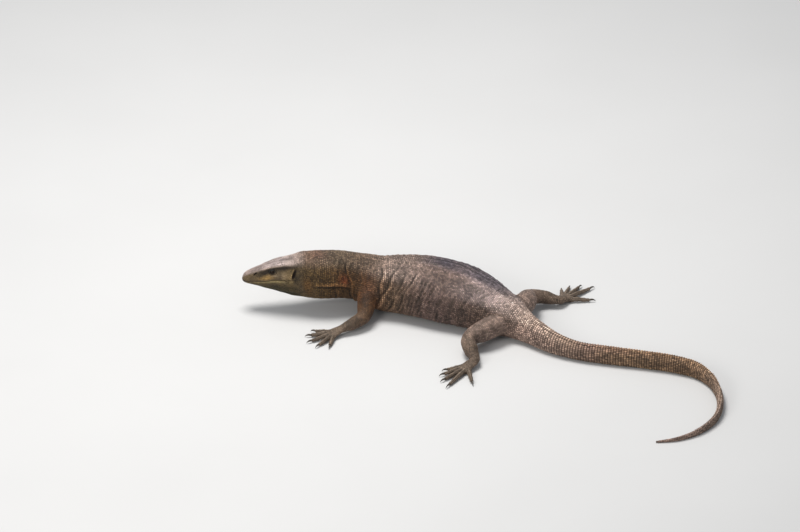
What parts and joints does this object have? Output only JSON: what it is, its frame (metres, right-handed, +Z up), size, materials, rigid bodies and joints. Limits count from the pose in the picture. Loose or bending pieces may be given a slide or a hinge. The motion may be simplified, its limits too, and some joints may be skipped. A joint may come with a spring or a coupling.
{
  "type": "bengal monitor",
  "caption": "Life-size still model of a bengal monitor on its belly, head raised, legs spread and tail hooked round.",
  "frame": {"origin": "middle of the whole outline in plan, on the floor that the belly, feet and tail rest on", "axes": "-X the way the head points, -Y the left side of the body, +Z up"},
  "size_m": [0.7918, 0.5964, 0.1035],
  "materials": {
    "head_skin": "small smooth scales, satin",
    "skin": "fine beaded scales, matt",
    "tail_skin": "rings of keeled scales, matt",
    "claw": "dark horn, semi-gloss",
    "eye": "wet gloss"
  },
  "bodies": {
    "root": {"head": "head_skin", "lower_jaw": "head_skin", "neck": "skin", "torso": "skin", "upper_arm_front_left": "skin", "forearm_front_left": "skin", "hand_front_left": "skin", "upper_arm_front_right": "skin", "forearm_front_right": "skin", "hand_front_right": "skin", "thigh_hind_left": "skin", "shank_hind_left": "skin", "foot_hind_left": "skin", "thigh_hind_right": "skin", "shank_hind_right": "skin", "foot_hind_right": "skin", "tail_base": "tail_skin", "tail_front": "tail_skin", "tail_middle": "tail_skin", "tail_bend": "tail_skin", "tail_curl": "tail_skin", "tail_tip": "tail_skin", "claw_front_left_1": "claw", "claw_front_left_2": "claw", "claw_front_left_3": "claw", "claw_front_left_4": "claw", "claw_front_left_5": "claw", "claw_front_right_1": "claw", "claw_front_right_2": "claw", "claw_front_right_3": "claw", "claw_front_right_4": "claw", "claw_front_right_5": "claw", "claw_hind_left_1": "claw", "claw_hind_left_2": "claw", "claw_hind_left_3": "claw", "claw_hind_left_4": "claw", "claw_hind_left_5": "claw", "claw_hind_right_1": "claw", "claw_hind_right_2": "claw", "claw_hind_right_3": "claw", "claw_hind_right_4": "claw", "claw_hind_right_5": "claw", "eye_left": "eye", "eye_right": "eye"}
  },
  "joints": []
}
